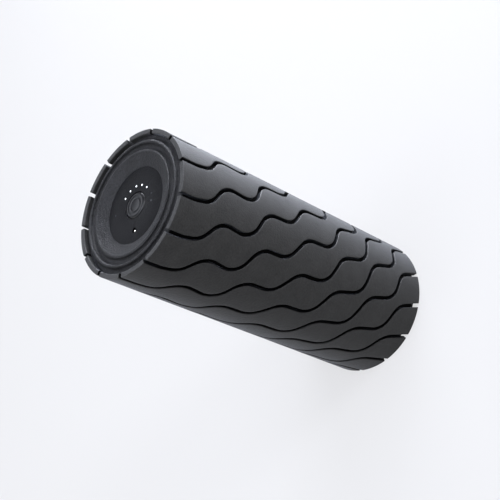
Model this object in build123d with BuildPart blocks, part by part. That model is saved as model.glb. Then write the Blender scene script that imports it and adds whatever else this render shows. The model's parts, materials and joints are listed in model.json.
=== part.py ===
"""Vibrating foam roller, stood on its plain end: millimetres, +Z along the roller's axis.

The origin is the centre of the foot end, and +Z runs up to the control end. +Y is the side of the
control panel that its row of level lights is on. "Depth" is always measured from an end's flat
foam face into the roller.
"""

import math
import os

from build123d import *

os.makedirs("parts", exist_ok=True)

# ---------------------------------------------------------------- driving dimensions
LENGTH = 293.0
FOAM_R = 63.5
TUBE_R = 54.0
TUBE_WALL = 3.5
TUBE_IN_R = TUBE_R - TUBE_WALL

# Foam sleeve
GROOVES = 13
GROOVE_WIDTH = 3.5
GROOVE_FLOOR_R = 59.0
GROOVE_PHASE = 68.2
GROOVE_ROUNDING = 18.6
GROOVE_OVERRUN = 3.0
GROOVE_STATIONS = 70
FOAM_EDGE_R = 1.0
END_STEP_R = 59.3
END_STEP_DEPTH = 5.3
END_STEP_LIP_R = 0.8
# One groove's turning points: distance from the control end, and degrees round the roller.
GROOVE_CORNERS = [
    (0.0, 0.0),
    (15.0, 0.3),
    (30.5, 3.0),
    (45.0, 21.0),
    (77.5, 18.0),
    (91.0, 43.0),
    (121.5, 44.0),
    (139.5, 65.0),
    (171.0, 66.5),
    (184.5, 91.0),
    (215.0, 98.0),
    (226.0, 125.5),
    (257.0, 133.0),
    (266.0, 156.5),
    (293.0, 164.5),
]

# End caps, as (radius, depth) from the end face
FLANGE_R = END_STEP_R - 0.2
CONTROL_FLANGE_DEPTH = 4.1
FOOT_FLANGE_DEPTH = 2.6
OUTER_RIB = [(54.1, 1.0), (52.8, 0.05), (51.5, 1.0)]
RIB_CHANNEL = [(51.5, 1.0), (48.75, 3.8), (46.0, 1.0)]
INNER_RIB = [(46.0, 1.0), (44.6, 0.4), (43.2, 0.95)]
RIB_BACK_DEPTH = 6.4
CONE_BACK_IN_R = 35.5
CONE_BACK_OUT_R = 43.0
PANEL_R = 33.0
PANEL_GAP = 0.1
PANEL_EDGE_R = 0.1
PANEL_DEPTH = 5.5
PANEL_THICK = 1.3
FLOOR_DEPTH = PANEL_DEPTH + PANEL_THICK
FLOOR_THICK = 3.5
FLOOR_BACK = FLOOR_DEPTH + FLOOR_THICK
SKIRT_R = TUBE_IN_R - 0.2
SKIRT_IN_R = SKIRT_R - 2.4
SKIRT_DEPTH = 17.0
SEAL_DEPTH = 11.0
SEAL_SECTION_R = 0.64
SEAL_GROOVE_R = SKIRT_R - 1.1
SEAL_GROOVE_WIDTH = 2.4

# Cap screws, which run into the chassis
CAP_SCREW_CIRCLE = 27.0
CAP_SCREWS = 4
M3_R = 1.5
M3_HOLE_R = 1.65
M3_HEAD_R = 3.0
M3_HEAD_HEIGHT = 1.5
POST_R = 4.0
POST_DEPTH = 24.0
POST_ROOT_DEPTH = FLOOR_DEPTH + 1.0
HEAD_CLEAR = 0.15
DRIVE_SLOT = (3.0, 0.6, 0.9)
CONTROL_SCREW_LENGTH = 27.0
FOOT_SCREW_LENGTH = 12.0

# Control panel, button and lights
LIGHT_CIRCLE = 17.25
LIGHTS = 5
LIGHT_STEP = 24.9
LIGHT_R = 0.7
STATUS_LIGHT_R = 0.6
STATUS_PLACES = [(19.2, 3.3), (19.2, -3.3), (-25.0, 0.0)]
LIGHT_CLEAR = 0.05
BUTTON_R = 11.3
BUTTON_HOLE_R = 11.6
BUTTON_HOLE_EDGE_R = 0.9
BUTTON_TOP_DEPTH = 4.8
BUTTON_FLANGE_R = 13.8
BUTTON_FLANGE_TOP = FLOOR_DEPTH + 0.1
BUTTON_FLANGE_THICK = 0.8
BUTTON_STEM_R = 4.0
BUTTON_STEM_DEPTH = 12.5
BUTTON_STEM_CLEAR = 0.4
BUTTON_TRAVEL = 0.8
BUTTON_WELL_R = 14.5
BUTTON_WELL_DEPTH = BUTTON_FLANGE_TOP + BUTTON_FLANGE_THICK + BUTTON_TRAVEL + 0.5
PLUNGER_R = 1.75
PLUNGER_LENGTH = 2.1
SWITCH_SIDE = 6.0
SWITCH_CORNER_R = 0.5
SWITCH_BORE_DEPTH = 2.1
SWITCH_HEIGHT = 3.5
JACK_EDGE_R = 0.2

# Control board
BOARD_R = 40.0
BOARD_DEPTH = 17.0
BOARD_THICK = 1.6
BOARD_SCREW_CIRCLE = 36.0
BOARD_SCREWS = 3
BOARD_POST_R = 3.0
M2_R = 1.0
M2_HEAD_R = 1.9
M2_HEAD_HEIGHT = 1.3
M2_LENGTH = 6.5
LIGHT_CHIP = (2.0, 1.2, 0.8)
CHIP_HEIGHT = 1.5

# Charging socket
JACK_Y = -22.9
JACK_BORE_R = 2.45
JACK_SLEEVE_R = 2.85
JACK_R = 3.8
JACK_SLEEVE_DEPTH = 9.0
JACK_BORE_DEPTH = 18.5
JACK_DEPTH = 21.0
JACK_PIN_R = 0.8
JACK_PIN_DEPTH = 5.8

# Chassis
CHASSIS_R = 46.8
CHASSIS_IN_R = 44.4
CHASSIS_LOW = FLOOR_BACK
CHASSIS_HIGH = LENGTH - POST_DEPTH
END_PLATE = 4.0
CLAMP_SCREW_Y = 41.5
CLAMP_SCREW_HEIGHTS = [28.0, 110.0, 225.0]
CLAMP_BOSS_HALF = 12.0
WIRE_SLOT_X = 37.5

# Vibration drive
SHAFT_R = 4.0
SHAFT_LOW = 37.0
SHAFT_HIGH = 189.0
BEARING_R = 11.0
BEARING_WIDTH = 7.0
OUTER_RACE_IN_R = 9.3
INNER_RACE_R = 5.7
BALLS = 7
BALL_R = 1.95
BALL_CIRCLE_R = 7.5
BALL_PHASE = 20.0
RACEWAY_R = 2.05
CAGE_TALL = 5.2
CAGE_HALF_THICK = 0.5
LOWER_BEARING_Z = 41.0
UPPER_BEARING_Z = 178.0
UPPER_BEARING_TOP = UPPER_BEARING_Z + BEARING_WIDTH
BEARING_LIP = 1.0
BEARING_LIP_R = 9.5
MOTOR_R = 21.0
MOTOR_IN_R = 19.6
MOTOR_LOW = 80.0
MOTOR_HIGH = 134.0
BELL_HIGH = 142.0
CAN_END = 2.0
BELL_CAVITY_R = 17.0
BELL_CAVITY_TALL = 5.0
BUSH_R = 7.0
BUSH_LENGTH = 6.0
BUSH_CLEAR = 0.05
ISOLATOR_R = 24.5
ISOLATOR_HEIGHTS = [84.0, 126.0]
ISOLATOR_TALL = 8.0
MAGNET_IN_R = 16.7
MAGNET_LOW = 88.0
MAGNET_HIGH = 126.0
MAGNET_SWEEP = 140.0
CORE_R = 16.3
CORE_LOW = 91.0
CORE_HIGH = 122.0
POLES = 5
SLOT_IN_R = 6.5
SLOT_OUT_R = 14.0
SLOT_HALF_ANGLE = 26.0
COMMUTATOR_R = 6.0
COMMUTATOR_LOW = 127.0
COMMUTATOR_HIGH = 137.0
BRUSH_Z = 132.0
TERMINAL_X = 14.0
TERMINAL_TOP = 149.0
TERMINAL_SIZE = (1.6, 4.0)
BRUSH_OUT_X = 13.0
BRUSH_SIZE = (5.0, 4.0)
BRUSH_HOLDER_X = 11.5
BRUSH_HOLDER_LENGTH = 5.0
BRUSH_HOLDER_WALL = 1.0
WEIGHT_R = 26.0
WEIGHT_HUB_R = 9.0
WEIGHT_TALL = 18.0
WEIGHT_SWEEP = 170.0
LOWER_WEIGHT_Z = 54.0
UPPER_WEIGHT_Z = 153.0
SET_SCREW_R = 2.0
SET_SCREW_KEY_R = 1.0
SET_SCREW_KEY_DEPTH = 1.5
SET_SCREW_SINK = 0.4

# Battery and power board
CELLS = 3
CELL_R = 9.2
CELL_LENGTH = 65.0
CELL_CIRCLE_R = 12.0
CELL_LOW = 195.0
CELL_HIGH = CELL_LOW + CELL_LENGTH
BATTERY_PLATE_LOW = 190.0
BATTERY_PLATE_HIGH = 193.0
HOLDER_R = 22.2
HOLDER_GRIP = 3.0
STRAP_THICK = 0.4
STRAP_WIDTH = 8.0
CELL_CLEAR = 0.1
STRAP_CLEAR = 0.4
POWER_BOARD_X = 33.0
POWER_BOARD_WIDTH = 28.0
WIRE_R = 0.9


def finish(piece, label):
    """Name a finished piece and write it to its own file."""
    piece.part.label = label
    export_step(piece.part, f"parts/{label}.step")


def ring(outer, inner, low, high):
    """A plain ring or disc between two heights."""
    with BuildPart() as body:
        with BuildSketch(Plane.XY.offset(low)):
            Circle(outer)
            if inner:
                Circle(inner, mode=Mode.SUBTRACT)
        extrude(amount=high - low)
    return body


# ---------------------------------------------------------------- foam sleeve
def groove_wave():
    """One groove's centreline on the sleeve laid flat: X down from the control end, Y round it."""
    points = [Vector(down, math.radians(turn) * FOAM_R) for down, turn in GROOVE_CORNERS]
    points[0] += (points[0] - points[1]).normalized() * GROOVE_OVERRUN
    points[-1] += (points[-1] - points[-2]).normalized() * GROOVE_OVERRUN
    radii = []
    for before, corner, after in zip(points, points[1:], points[2:]):
        run_in = corner - before
        run_out = after - corner
        half_turn = math.radians(run_in.get_angle(run_out)) / 2
        room = 0.48 * min(run_in.length, run_out.length) / math.tan(half_turn)
        radii.append(min(GROOVE_ROUNDING, room))
    with BuildLine() as wave:
        FilletPolyline(*points, radius=radii)
    return wave.wires()[0]


def groove_edge(wave, side, radius):
    """One long edge of the groove cutter: the wave shifted sideways, wrapped at a radius."""
    places = []
    for station in range(GROOVE_STATIONS):
        along = station / (GROOVE_STATIONS - 1)
        flat = wave @ along
        heading = wave % along
        shifted = flat + Vector(-heading.Y, heading.X) * side
        angle = shifted.Y / FOAM_R + math.radians(GROOVE_PHASE)
        places.append((radius * math.cos(angle), radius * math.sin(angle), LENGTH - shifted.X))
    return Edge.make_spline(places)


def groove_cutter():
    """A closed solid that fills one groove and reaches past the sleeve's outside and both ends."""
    wave = groove_wave()
    outside = FOAM_R + 1.0
    top_left = groove_edge(wave, -GROOVE_WIDTH / 2, outside)
    top_right = groove_edge(wave, GROOVE_WIDTH / 2, outside)
    floor_left = groove_edge(wave, -GROOVE_WIDTH / 2, GROOVE_FLOOR_R)
    floor_right = groove_edge(wave, GROOVE_WIDTH / 2, GROOVE_FLOOR_R)
    pairs = [
        (top_left, top_right),
        (floor_left, floor_right),
        (top_left, floor_left),
        (top_right, floor_right),
    ]
    for end in (0, 1):
        top = Edge.make_line(top_left @ end, top_right @ end)
        floor = Edge.make_line(floor_left @ end, floor_right @ end)
        pairs.append((top, floor))
    return Solid(Shell([Face.make_surface_from_curves(a, b) for a, b in pairs]))


one_groove = groove_cutter()

with BuildPart() as foam_sleeve:
    with BuildSketch(Plane.XZ) as foam_section:
        with Locations((TUBE_R, 0)):
            Rectangle(FOAM_R - TUBE_R, LENGTH, align=(Align.MIN, Align.MIN))
        with Locations((TUBE_R, 0), (TUBE_R, LENGTH - END_STEP_DEPTH)):
            Rectangle(
                END_STEP_R - TUBE_R,
                END_STEP_DEPTH,
                align=(Align.MIN, Align.MIN),
                mode=Mode.SUBTRACT,
            )
        fillet(foam_section.vertices().group_by(Axis.X)[-1], FOAM_EDGE_R)
        for end_corners in (
            foam_section.vertices().group_by(Axis.Y)[0],
            foam_section.vertices().group_by(Axis.Y)[-1],
        ):
            fillet(end_corners.sort_by(Axis.X)[0], END_STEP_LIP_R)
    revolve(axis=Axis.Z)
    add(
        [one_groove.rotate(Axis.Z, 360 / GROOVES * number) for number in range(GROOVES)],
        mode=Mode.SUBTRACT,
    )
finish(foam_sleeve, "foam_sleeve")

core_tube = ring(TUBE_R, TUBE_IN_R, END_STEP_DEPTH, LENGTH - END_STEP_DEPTH)
finish(core_tube, "core_tube")


# ---------------------------------------------------------------- end caps
def cap_section(control):
    """Half section of an end cap: flange, two ribs, a dish, a floor and a skirt inside the tube."""
    flange_depth = CONTROL_FLANGE_DEPTH if control else FOOT_FLANGE_DEPTH
    fall = flange_depth - OUTER_RIB[0][1]
    flange_in_r = OUTER_RIB[0][0] + fall

    def at(radius, depth):
        return (radius, LENGTH - depth if control else depth)

    with BuildSketch(Plane.XZ) as section:
        with BuildLine():
            Line(at(FLANGE_R, flange_depth), at(flange_in_r, flange_depth))
            ThreePointArc(
                at(flange_in_r, flange_depth),
                at(flange_in_r - fall * math.sqrt(0.5), OUTER_RIB[0][1] + fall * math.sqrt(0.5)),
                at(*OUTER_RIB[0]),
            )
            for start, crest, end in (OUTER_RIB, RIB_CHANNEL, INNER_RIB):
                ThreePointArc(at(*start), at(*crest), at(*end))
            Polyline(
                at(*INNER_RIB[-1]),
                at(PANEL_R + PANEL_GAP, PANEL_DEPTH - 0.1),
                at(PANEL_R + PANEL_GAP, FLOOR_DEPTH),
                at(0, FLOOR_DEPTH),
                at(0, FLOOR_BACK),
                at(CONE_BACK_IN_R, FLOOR_BACK),
                at(CONE_BACK_OUT_R, RIB_BACK_DEPTH),
                at(SKIRT_IN_R, RIB_BACK_DEPTH),
                at(SKIRT_IN_R, SKIRT_DEPTH),
                at(SKIRT_R, SKIRT_DEPTH),
                at(SKIRT_R, END_STEP_DEPTH),
                at(FLANGE_R, END_STEP_DEPTH),
                at(FLANGE_R, flange_depth),
            )
        make_face()
    return section.sketch


def seal_groove(control):
    """The sketch of the groove round a cap's skirt for its sealing ring."""
    height = LENGTH - SEAL_DEPTH if control else SEAL_DEPTH
    with BuildSketch(Plane.XZ) as section:
        with Locations((SEAL_GROOVE_R + 1.0, height)):
            Rectangle(2.0, SEAL_GROOVE_WIDTH)
    return section.sketch


def light_angles():
    """Angles of the level lights, spread evenly to both sides of +Y."""
    first = 90 - LIGHT_STEP * (LIGHTS - 1) / 2
    return [first + LIGHT_STEP * number for number in range(LIGHTS)]


def light_places():
    """Centres of the level lights on the panel."""
    return [
        (LIGHT_CIRCLE * math.cos(math.radians(a)), LIGHT_CIRCLE * math.sin(math.radians(a)))
        for a in light_angles()
    ]


def at_depth(depth):
    """The level plane at a depth below the control end."""
    return Plane.XY.offset(LENGTH - depth)


with BuildPart() as control_end_cap:
    revolve(cap_section(True), axis=Axis.Z)
    revolve(seal_groove(True), axis=Axis.Z, mode=Mode.SUBTRACT)
    with BuildSketch(at_depth(POST_ROOT_DEPTH)):
        with PolarLocations(CAP_SCREW_CIRCLE, CAP_SCREWS, start_angle=45):
            Circle(POST_R)
    extrude(amount=-(POST_DEPTH - POST_ROOT_DEPTH))
    with BuildSketch(at_depth(POST_ROOT_DEPTH)):
        with PolarLocations(BOARD_SCREW_CIRCLE, BOARD_SCREWS, start_angle=90):
            Circle(BOARD_POST_R)
    extrude(amount=-(BOARD_DEPTH - POST_ROOT_DEPTH))
    with BuildSketch(at_depth(FLOOR_DEPTH)):
        Circle(BUTTON_WELL_R)
    extrude(amount=-(BUTTON_WELL_DEPTH - FLOOR_DEPTH), mode=Mode.SUBTRACT)
    with BuildSketch(at_depth(FLOOR_DEPTH)):
        Circle(BUTTON_STEM_R + BUTTON_STEM_CLEAR)
        with Locations((0, JACK_Y)):
            Circle(JACK_R)
        with Locations(*light_places()):
            Circle(LIGHT_R + LIGHT_CLEAR)
        with Locations(*STATUS_PLACES):
            Circle(STATUS_LIGHT_R + LIGHT_CLEAR)
    extrude(amount=-FLOOR_THICK, mode=Mode.SUBTRACT)
    with BuildSketch(at_depth(FLOOR_DEPTH)):
        with PolarLocations(CAP_SCREW_CIRCLE, CAP_SCREWS, start_angle=45):
            Circle(M3_HOLE_R)
    extrude(amount=-POST_DEPTH, mode=Mode.SUBTRACT)
    with BuildSketch(at_depth(BOARD_DEPTH)):
        with PolarLocations(BOARD_SCREW_CIRCLE, BOARD_SCREWS, start_angle=90):
            Circle(M2_R)
    extrude(amount=M2_LENGTH - BOARD_THICK + 0.5, mode=Mode.SUBTRACT)
    with Locations(at_depth(FLOOR_DEPTH)):
        with PolarLocations(CAP_SCREW_CIRCLE, CAP_SCREWS, start_angle=45):
            Cone(
                M3_HOLE_R,
                M3_HEAD_R + HEAD_CLEAR,
                M3_HEAD_HEIGHT,
                align=(Align.CENTER, Align.CENTER, Align.MAX),
                mode=Mode.SUBTRACT,
            )
finish(control_end_cap, "control_end_cap")

with BuildPart() as foot_end_cap:
    revolve(cap_section(False), axis=Axis.Z)
    revolve(seal_groove(False), axis=Axis.Z, mode=Mode.SUBTRACT)
    with BuildSketch(Plane.XY.offset(FLOOR_DEPTH)):
        with PolarLocations(CAP_SCREW_CIRCLE, CAP_SCREWS, start_angle=45):
            Circle(M3_HOLE_R)
    extrude(amount=FLOOR_THICK, mode=Mode.SUBTRACT)
    with Locations(Plane.XY.offset(FLOOR_DEPTH)):
        with PolarLocations(CAP_SCREW_CIRCLE, CAP_SCREWS, start_angle=45):
            Cone(
                M3_HEAD_R + HEAD_CLEAR,
                M3_HOLE_R,
                M3_HEAD_HEIGHT,
                align=(Align.CENTER, Align.CENTER, Align.MIN),
                mode=Mode.SUBTRACT,
            )
finish(foot_end_cap, "foot_end_cap")


def sealing_ring(height):
    """A round-section ring that fills the gap between a cap's skirt and the tube."""
    with BuildPart(Plane.XY.offset(height)) as seal:
        Torus(SEAL_GROOVE_R + SEAL_SECTION_R, SEAL_SECTION_R)
    return seal


finish(sealing_ring(LENGTH - SEAL_DEPTH), "control_cap_seal")
finish(sealing_ring(SEAL_DEPTH), "foot_cap_seal")


def cap_screws(plane, length):
    """The countersunk screws of one cap, their heads on a plane that faces out of the roller."""
    with BuildPart(plane) as screws:
        with PolarLocations(CAP_SCREW_CIRCLE, CAP_SCREWS, start_angle=45):
            Cone(
                M3_R,
                M3_HEAD_R,
                M3_HEAD_HEIGHT,
                align=(Align.CENTER, Align.CENTER, Align.MAX),
            )
            Cylinder(M3_R, length, align=(Align.CENTER, Align.CENTER, Align.MAX))
            for turn in (0, 90):
                Box(
                    *DRIVE_SLOT,
                    rotation=(0, 0, turn),
                    align=(Align.CENTER, Align.CENTER, Align.MAX),
                    mode=Mode.SUBTRACT,
                )
    return screws


finish(cap_screws(at_depth(FLOOR_DEPTH + 0.05), CONTROL_SCREW_LENGTH), "control_cap_screws")
foot_screw_plane = Plane(origin=(0, 0, FLOOR_DEPTH + 0.05), x_dir=(1, 0, 0), z_dir=(0, 0, -1))
finish(cap_screws(foot_screw_plane, FOOT_SCREW_LENGTH), "foot_cap_screws")

# ---------------------------------------------------------------- control panel and foot panel
with BuildPart() as control_panel:
    with BuildSketch(at_depth(PANEL_DEPTH)):
        Circle(PANEL_R)
        Circle(BUTTON_HOLE_R, mode=Mode.SUBTRACT)
        with Locations((0, JACK_Y)):
            Circle(JACK_BORE_R, mode=Mode.SUBTRACT)
        with Locations(*light_places()):
            Circle(LIGHT_R + LIGHT_CLEAR, mode=Mode.SUBTRACT)
        with Locations(*STATUS_PLACES):
            Circle(STATUS_LIGHT_R + LIGHT_CLEAR, mode=Mode.SUBTRACT)
    extrude(amount=-PANEL_THICK)
    for rim_r, rounding in (
        (PANEL_R, PANEL_EDGE_R),
        (BUTTON_HOLE_R, BUTTON_HOLE_EDGE_R),
        (JACK_BORE_R, JACK_EDGE_R),
    ):
        rims = control_panel.edges().filter_by(GeomType.CIRCLE).group_by(Axis.Z)[-1]
        fillet([rim for rim in rims if abs(rim.radius - rim_r) < 0.1], rounding)
finish(control_panel, "control_panel")

with BuildPart() as foot_panel:
    with BuildSketch(Plane.XY.offset(PANEL_DEPTH)):
        Circle(PANEL_R)
    extrude(amount=PANEL_THICK)
    fillet(foot_panel.edges().filter_by(GeomType.CIRCLE).sort_by(Axis.Z)[0], PANEL_EDGE_R)
finish(foot_panel, "foot_panel")

# ---------------------------------------------------------------- power button and its switch
BUTTON_BOWL = [(0, 5.5), (2.6, 5.4), (4.9, 5.15)]
BUTTON_INNER_RING = [(4.9, 5.15), (5.5, 4.95), (6.1, 5.15)]
BUTTON_TROUGH = [(6.1, 5.15), (7.4, 5.3), (8.7, 5.05)]
BUTTON_RIM = [(8.7, 5.05), (10.4, BUTTON_TOP_DEPTH + 0.2), (BUTTON_R, 6.2)]

with BuildPart() as power_button:
    flange_low = BUTTON_FLANGE_TOP + BUTTON_FLANGE_THICK
    with BuildSketch(Plane.XZ):
        with BuildLine():
            for start, middle, end in (BUTTON_BOWL, BUTTON_INNER_RING, BUTTON_TROUGH, BUTTON_RIM):
                ThreePointArc(
                    (start[0], LENGTH - start[1]),
                    (middle[0], LENGTH - middle[1]),
                    (end[0], LENGTH - end[1]),
                )
            Polyline(
                (BUTTON_R, LENGTH - BUTTON_RIM[-1][1]),
                (BUTTON_R, LENGTH - BUTTON_FLANGE_TOP),
                (BUTTON_FLANGE_R, LENGTH - BUTTON_FLANGE_TOP),
                (BUTTON_FLANGE_R, LENGTH - flange_low),
                (BUTTON_STEM_R, LENGTH - flange_low),
                (BUTTON_STEM_R, LENGTH - BUTTON_STEM_DEPTH),
                (0, LENGTH - BUTTON_STEM_DEPTH),
                (0, LENGTH - BUTTON_BOWL[0][1]),
            )
        make_face()
    revolve(axis=Axis.Z)
finish(power_button, "power_button")

plunger_low = LENGTH - BUTTON_STEM_DEPTH - PLUNGER_LENGTH
switch_plunger = ring(PLUNGER_R, 0, plunger_low, LENGTH - BUTTON_STEM_DEPTH)
finish(switch_plunger, "switch_plunger")

with BuildPart() as switch_body:
    with BuildSketch(at_depth(BOARD_DEPTH)):
        RectangleRounded(SWITCH_SIDE, SWITCH_SIDE, SWITCH_CORNER_R)
    extrude(amount=SWITCH_HEIGHT)
    with BuildSketch(at_depth(BOARD_DEPTH - SWITCH_HEIGHT)):
        Circle(PLUNGER_R + 0.1)
    extrude(amount=-SWITCH_BORE_DEPTH, mode=Mode.SUBTRACT)
finish(switch_body, "switch_body")


# ---------------------------------------------------------------- lights
def light_pipes(places, radius):
    """Clear rods that carry light from the board up to the panel."""
    with BuildPart() as pipes:
        with BuildSketch(at_depth(PANEL_DEPTH - 0.05)):
            with Locations(*places):
                Circle(radius)
        extrude(amount=-(BOARD_DEPTH - 1.0 - PANEL_DEPTH))
    return pipes


finish(light_pipes(light_places(), LIGHT_R), "level_light_pipes")
finish(light_pipes(STATUS_PLACES, STATUS_LIGHT_R), "status_light_pipes")

with BuildPart() as light_chips:
    with BuildSketch(at_depth(BOARD_DEPTH)):
        with Locations(*light_places(), *STATUS_PLACES):
            Rectangle(LIGHT_CHIP[0], LIGHT_CHIP[1])
    extrude(amount=LIGHT_CHIP[2])
finish(light_chips, "light_chips")

# ---------------------------------------------------------------- control board
with BuildPart() as control_board:
    with BuildSketch(at_depth(BOARD_DEPTH)):
        Circle(BOARD_R)
        with PolarLocations(CAP_SCREW_CIRCLE, CAP_SCREWS, start_angle=45):
            Circle(POST_R + 0.3, mode=Mode.SUBTRACT)
        with PolarLocations(BOARD_SCREW_CIRCLE, BOARD_SCREWS, start_angle=90):
            Circle(M2_R + 0.15, mode=Mode.SUBTRACT)
        with Locations((0, JACK_Y)):
            Circle(JACK_R + 0.2, mode=Mode.SUBTRACT)
    extrude(amount=-BOARD_THICK)
finish(control_board, "control_board")

with BuildPart(at_depth(BOARD_DEPTH + BOARD_THICK)) as board_screws:
    with PolarLocations(BOARD_SCREW_CIRCLE, BOARD_SCREWS, start_angle=90):
        Cylinder(M2_HEAD_R, M2_HEAD_HEIGHT, align=(Align.CENTER, Align.CENTER, Align.MAX))
        Cylinder(M2_R, M2_LENGTH, align=(Align.CENTER, Align.CENTER, Align.MIN))
finish(board_screws, "board_screws")

with BuildPart() as control_chips:
    with BuildSketch(at_depth(BOARD_DEPTH + BOARD_THICK)):
        Rectangle(9.0, 9.0)
        with Locations((-20.0, 5.0)):
            Rectangle(5.0, 4.0)
        with Locations((-18.0, -10.0)):
            Rectangle(4.0, 7.0)
    extrude(amount=-CHIP_HEIGHT)
finish(control_chips, "control_chips")

# ---------------------------------------------------------------- charging socket
with BuildPart() as jack_housing:
    with BuildSketch(at_depth(FLOOR_DEPTH)):
        with Locations((0, JACK_Y)):
            Circle(JACK_R)
    extrude(amount=-(JACK_DEPTH - FLOOR_DEPTH))
    with BuildSketch(at_depth(FLOOR_DEPTH)):
        with Locations((0, JACK_Y)):
            Circle(JACK_BORE_R)
    extrude(amount=-(JACK_BORE_DEPTH - FLOOR_DEPTH), mode=Mode.SUBTRACT)
    with BuildSketch(at_depth(JACK_SLEEVE_DEPTH)):
        with Locations((0, JACK_Y)):
            Circle(JACK_SLEEVE_R)
    extrude(amount=-(JACK_BORE_DEPTH - JACK_SLEEVE_DEPTH), mode=Mode.SUBTRACT)
    with BuildSketch(at_depth(JACK_DEPTH)):
        with Locations((0, JACK_Y)):
            Circle(JACK_PIN_R)
    extrude(amount=JACK_DEPTH - JACK_BORE_DEPTH, mode=Mode.SUBTRACT)
finish(jack_housing, "jack_housing")

with BuildPart() as jack_sleeve:
    with BuildSketch(at_depth(JACK_SLEEVE_DEPTH)):
        with Locations((0, JACK_Y)):
            Circle(JACK_SLEEVE_R)
            Circle(JACK_BORE_R, mode=Mode.SUBTRACT)
    extrude(amount=-(JACK_BORE_DEPTH - JACK_SLEEVE_DEPTH))
finish(jack_sleeve, "jack_sleeve")

with BuildPart() as jack_pin:
    with BuildSketch(at_depth(JACK_PIN_DEPTH)):
        with Locations((0, JACK_Y)):
            Circle(JACK_PIN_R)
    extrude(amount=-(JACK_DEPTH + 1.0 - JACK_PIN_DEPTH))
    fillet(jack_pin.edges().sort_by(Axis.Z)[-1], 0.5)
finish(jack_pin, "jack_pin")

# ---------------------------------------------------------------- chassis
# Plates across the chassis: lowest height, highest height, bore radius, and whether wires pass.
CHASSIS_PLATES = [
    (CHASSIS_LOW, CHASSIS_LOW + END_PLATE, 0, False),
    (LOWER_BEARING_Z - BEARING_LIP, LOWER_BEARING_Z, BEARING_LIP_R, False),
    (LOWER_BEARING_Z, LOWER_BEARING_Z + BEARING_WIDTH, BEARING_R, False),
    (ISOLATOR_HEIGHTS[0] + 1, ISOLATOR_HEIGHTS[0] + 7, ISOLATOR_R, False),
    (ISOLATOR_HEIGHTS[1] + 1, ISOLATOR_HEIGHTS[1] + 7, ISOLATOR_R, False),
    (UPPER_BEARING_Z, UPPER_BEARING_TOP, BEARING_R, True),
    (UPPER_BEARING_TOP, UPPER_BEARING_TOP + BEARING_LIP, BEARING_LIP_R, True),
    (BATTERY_PLATE_LOW, BATTERY_PLATE_HIGH, 0, True),
    (CHASSIS_HIGH - END_PLATE, CHASSIS_HIGH, 0, True),
]
SCREW_BOSS_R = 4.5
SCREW_BOSS_TALL = 12.0


def chassis_half(keep):
    """One half of the clamshell that holds the motor, bearings and battery."""
    with BuildPart() as half:
        with BuildSketch(Plane.XY.offset(CHASSIS_LOW)):
            Circle(CHASSIS_R)
            Circle(CHASSIS_IN_R, mode=Mode.SUBTRACT)
        extrude(amount=CHASSIS_HIGH - CHASSIS_LOW)
        for low, high, bore, wires in CHASSIS_PLATES:
            with BuildSketch(Plane.XY.offset(low)):
                Circle(CHASSIS_IN_R + 0.5)
                if bore:
                    Circle(bore, mode=Mode.SUBTRACT)
                if wires:
                    with Locations((WIRE_SLOT_X, 0)):
                        Rectangle(5.0, 12.0, mode=Mode.SUBTRACT)
            extrude(amount=high - low)
        for low in (CHASSIS_LOW, CHASSIS_HIGH - SCREW_BOSS_TALL):
            with BuildSketch(Plane.XY.offset(low)):
                with PolarLocations(CAP_SCREW_CIRCLE, CAP_SCREWS, start_angle=45):
                    Circle(SCREW_BOSS_R)
            extrude(amount=SCREW_BOSS_TALL)
            with BuildSketch(Plane.XY.offset(low)):
                with PolarLocations(CAP_SCREW_CIRCLE, CAP_SCREWS, start_angle=45):
                    Circle(M3_R)
            extrude(amount=SCREW_BOSS_TALL, mode=Mode.SUBTRACT)
        clamp_places = [(y, z) for y in (-CLAMP_SCREW_Y, CLAMP_SCREW_Y) for z in CLAMP_SCREW_HEIGHTS]
        with BuildSketch(Plane.YZ.offset(-CLAMP_BOSS_HALF)):
            with Locations(*clamp_places):
                Circle(POST_R)
        extrude(amount=2 * CLAMP_BOSS_HALF)
        with BuildSketch(Plane.YZ.offset(-CLAMP_BOSS_HALF + 2)):
            with Locations(*clamp_places):
                Circle(M3_R)
        extrude(amount=2 * CLAMP_BOSS_HALF, mode=Mode.SUBTRACT)
        with BuildSketch(Plane.YZ.offset(CLAMP_BOSS_HALF)):
            with Locations(*clamp_places):
                Circle(M3_HEAD_R + 0.3)
        extrude(amount=20, mode=Mode.SUBTRACT)
        split(bisect_by=Plane.YZ, keep=keep)
    return half


finish(chassis_half(Keep.TOP), "chassis_right")
finish(chassis_half(Keep.BOTTOM), "chassis_left")

with BuildPart(Plane.YZ.offset(CLAMP_BOSS_HALF)) as chassis_screws:
    with Locations(
        *[(y, z) for y in (-CLAMP_SCREW_Y, CLAMP_SCREW_Y) for z in CLAMP_SCREW_HEIGHTS]
    ):
        Cylinder(M3_HEAD_R, 2.0, align=(Align.CENTER, Align.CENTER, Align.MIN))
        Cylinder(
            M3_R, 2 * CLAMP_BOSS_HALF - 3, align=(Align.CENTER, Align.CENTER, Align.MAX)
        )
finish(chassis_screws, "chassis_screws")


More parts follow.
